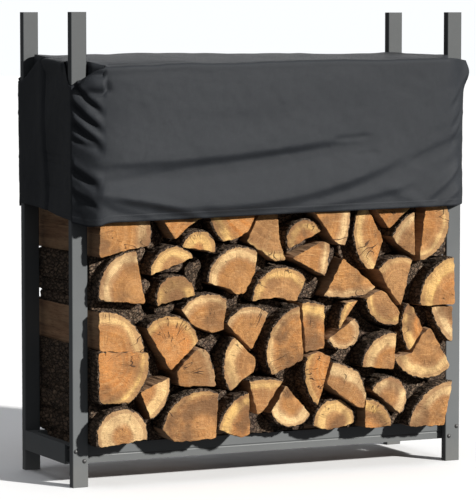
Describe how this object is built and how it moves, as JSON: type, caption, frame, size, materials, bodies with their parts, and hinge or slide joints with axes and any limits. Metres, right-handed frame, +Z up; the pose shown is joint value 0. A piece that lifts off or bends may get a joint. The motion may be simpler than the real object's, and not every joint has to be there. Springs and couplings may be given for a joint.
{
  "type": "firewood log rack",
  "caption": "Firewood log rack of tube uprights on a bolted channel base, stacked with split logs under a fitted fabric cover; the uprights pass through its corners.",
  "frame": {"origin": "on the ground, in the middle of the footprint", "axes": "+X to the right seen from the front, +Y to the back, +Z up"},
  "size_m": [1.131, 0.494, 1.2],
  "materials": {
    "frame_steel": "black powder coat, satin",
    "bolt_steel": "black, semi-gloss",
    "nut_steel": "zinc plated",
    "firewood": "split and sawn, with bark",
    "cover_fabric": "coated woven polyester, matt"
  },
  "bodies": {
    "rack": {"upright_front_left": "frame_steel", "upright_front_right": "frame_steel", "upright_rear_left": "frame_steel", "upright_rear_right": "frame_steel", "front_rail": "frame_steel", "rear_rail": "frame_steel", "end_rail_left": "frame_steel", "end_rail_right": "frame_steel", "long_bolts": "bolt_steel", "short_bolts": "bolt_steel", "washers": "nut_steel", "nuts": "nut_steel", "log_course_1": "firewood", "log_course_2": "firewood", "log_course_3": "firewood", "log_course_4": "firewood", "log_course_5": "firewood", "log_course_6": "firewood", "log_course_7": "firewood", "log_course_8": "firewood", "log_course_9": "firewood", "log_course_10": "firewood", "small_splits": "firewood"},
    "cover": {"cover_top": "cover_fabric", "cover_front": "cover_fabric", "cover_back": "cover_fabric", "cover_end_left": "cover_fabric", "cover_end_right": "cover_fabric", "cover_corners": "cover_fabric"},
    "loose_log_left": {"loose_log_left": "firewood"},
    "loose_log_dome": {"loose_log_dome": "firewood"},
    "loose_log_wedge": {"loose_log_wedge": "firewood"},
    "loose_log_round": {"loose_log_round": "firewood"}
  },
  "joints": [
    {"name": "cover_lift", "type": "slide", "parent": "rack", "child": "cover", "axis": [0, 0, 1], "range_m": [0, 0.56]},
    {"name": "loose_log_left_pull", "type": "slide", "parent": "rack", "child": "loose_log_left", "axis": [0, -1, 0], "range_m": [0, 0.47]},
    {"name": "loose_log_dome_pull", "type": "slide", "parent": "rack", "child": "loose_log_dome", "axis": [0, -1, 0], "range_m": [0, 0.47]},
    {"name": "loose_log_wedge_pull", "type": "slide", "parent": "rack", "child": "loose_log_wedge", "axis": [0, -1, 0], "range_m": [0, 0.47]},
    {"name": "loose_log_round_pull", "type": "slide", "parent": "rack", "child": "loose_log_round", "axis": [0, -1, 0], "range_m": [0, 0.47]}
  ]
}
